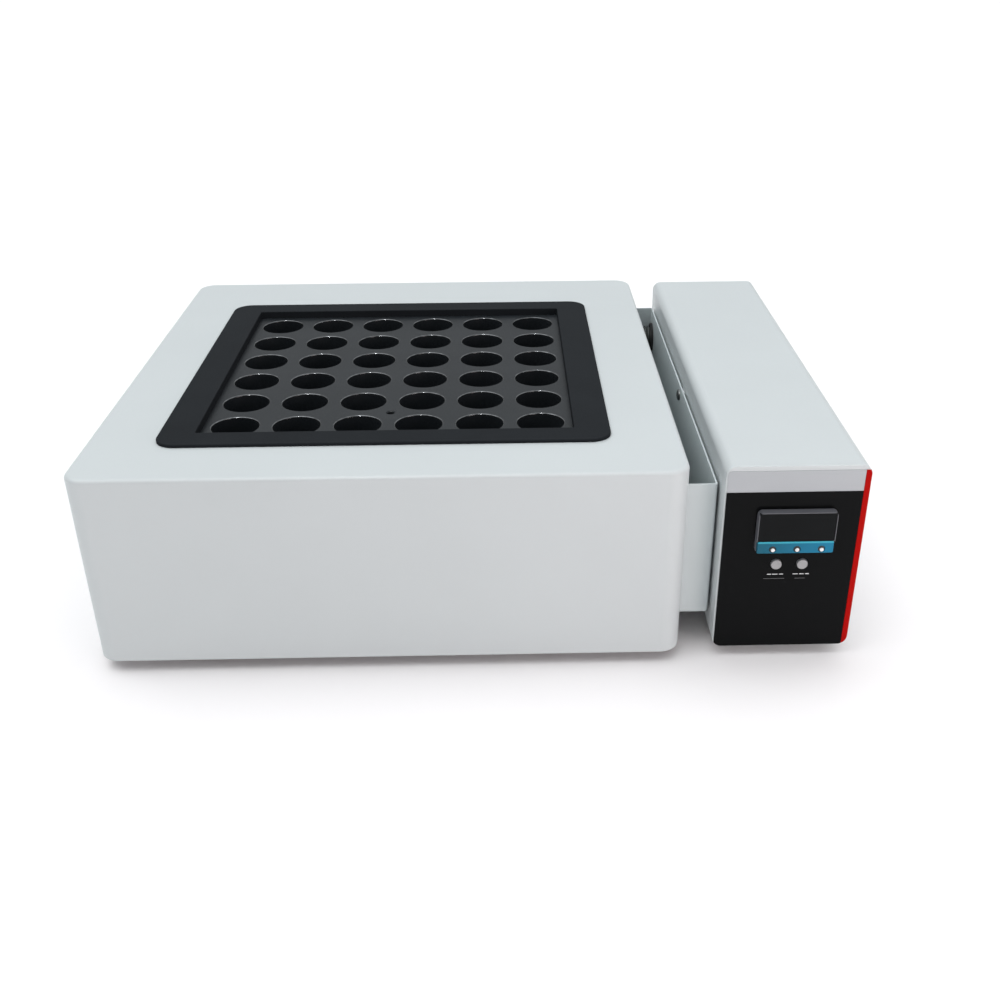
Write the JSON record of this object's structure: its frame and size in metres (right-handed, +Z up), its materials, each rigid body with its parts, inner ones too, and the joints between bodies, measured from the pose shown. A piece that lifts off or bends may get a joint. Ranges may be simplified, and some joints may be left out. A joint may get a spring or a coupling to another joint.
{
  "type": "dry block heater",
  "caption": "Low square dry block heater with a grid of tube wells in a dark recessed block, joined by a sheet-metal bridge to a narrow controller box.",
  "frame": {"origin": "middle of the footprint of heater and controller together, on the bench surface", "axes": "+X to the right, towards the controller; +Y to the back, towards the mains inlet; +Z up"},
  "size_m": [0.473, 0.3824, 0.1359],
  "materials": {
    "white_enamel": "pale grey-white powder coat, fine orange peel",
    "pale_steel": "thin pale grey coat on folded sheet",
    "silver_band": "satin silver-white",
    "black_surround": "matt black fluoropolymer",
    "block_coating": "dark grey fluoropolymer-coated block, matt",
    "zinc_steel": "bright zinc plate",
    "brass": "bare",
    "mica": "mica laminate in a steel sheath",
    "ceramic_fibre": "matted ceramic wool",
    "steatite": "unglazed",
    "black_rubber": "matt moulded rubber",
    "conduit_plastic": "corrugated nylon",
    "silicone_lead": "silicone insulation",
    "gloss_film": "glossy black overlay",
    "red_paint": "glossy red strip",
    "grey_bezel": "satin dark grey moulding",
    "dark_window": "smoked display window",
    "teal_keybar": "metallic teal lacquer",
    "white_key": "white key tip in a dark ring",
    "grey_button": "satin grey cap",
    "black_plastic": "moulded, fine texture",
    "circuit_board": "green solder mask",
    "finned_aluminium": "bare extrusion",
    "relay_plastic": "pale moulding",
    "inlet_brass": "nickel-plated brass",
    "fuse_glass": "ceramic-bodied fuse",
    "rocker_red": "glossy red rocker"
  },
  "bodies": {
    "root": {"housing_wrap": "white_enamel", "housing_top": "white_enamel", "bottom_flange": "white_enamel", "base_pan": "zinc_steel", "base_screws": "zinc_steel", "housing_feet": "black_rubber", "top_surround": "black_surround", "heating_block": "block_coating", "block_base": "block_coating", "heating_plate": "mica", "pressure_plate": "zinc_steel", "plate_studs": "zinc_steel", "block_posts": "steatite", "bottom_insulation": "ceramic_fibre", "side_insulation": "ceramic_fibre", "heat_shield": "zinc_steel", "block_sensor": "zinc_steel", "overheat_cutout": "black_plastic", "heater_leads": "silicone_lead", "sensor_leads": "silicone_lead", "earth_stud": "brass", "bridge_channel": "pale_steel", "bridge_screws": "zinc_steel", "bridge_spacers": "zinc_steel", "conduit_bushings": "black_rubber", "wiring_conduit": "conduit_plastic", "controller_sleeve": "white_enamel", "chassis": "zinc_steel", "chassis_screws": "zinc_steel", "controller_feet": "black_rubber", "front_plate": "silver_band", "front_film": "gloss_film", "red_strip": "red_paint", "meter_case": "grey_bezel", "meter_window": "dark_window", "meter_bar": "teal_keybar", "meter_display": "black_plastic", "meter_board": "circuit_board", "meter_clamp": "black_plastic", "button_switches": "black_plastic", "button_board": "circuit_board", "board_posts": "zinc_steel", "heatsink": "finned_aluminium", "solid_state_relay": "relay_plastic", "safety_relay": "black_plastic", "terminal_block": "relay_plastic", "controller_wiring": "silicone_lead", "rear_panel": "white_enamel", "rear_screws": "zinc_steel", "power_inlet": "black_plastic", "inlet_pins": "inlet_brass", "switch_frame": "black_plastic"},
    "key_left": {"meter_key_left": "white_key"},
    "key_middle": {"meter_key_middle": "white_key"},
    "key_right": {"meter_key_right": "white_key"},
    "push_left": {"button_left": "grey_button"},
    "push_right": {"button_right": "grey_button"},
    "rocker": {"power_rocker": "rocker_red"},
    "fuse_tray": {"fuse_drawer": "black_plastic", "fuses": "fuse_glass"}
  },
  "joints": [
    {"name": "key_left_press", "type": "slide", "parent": "root", "child": "key_left", "axis": [0, 1, 0], "range_m": [0, 0.0006], "stiffness_N_per_m": 400, "springref_m": -0.0005},
    {"name": "key_middle_press", "type": "slide", "parent": "root", "child": "key_middle", "axis": [0, 1, 0], "range_m": [0, 0.0006], "stiffness_N_per_m": 400, "springref_m": -0.0005},
    {"name": "key_right_press", "type": "slide", "parent": "root", "child": "key_right", "axis": [0, 1, 0], "range_m": [0, 0.0006], "stiffness_N_per_m": 400, "springref_m": -0.0005},
    {"name": "push_left_press", "type": "slide", "parent": "root", "child": "push_left", "axis": [0, 1, 0], "range_m": [0, 0.0012], "stiffness_N_per_m": 500, "springref_m": -0.001},
    {"name": "push_right_press", "type": "slide", "parent": "root", "child": "push_right", "axis": [0, 1, 0], "range_m": [0, 0.0012], "stiffness_N_per_m": 500, "springref_m": -0.001},
    {"name": "rocker_tilt", "type": "hinge", "parent": "root", "child": "rocker", "pos_m": [0.1935, 0.18025, 0.104], "axis": [1, 0, 0], "range_deg": [0, 22]},
    {"name": "fuse_tray_slide", "type": "slide", "parent": "root", "child": "fuse_tray", "axis": [0, 1, 0], "range_m": [0, 0.018]}
  ]
}
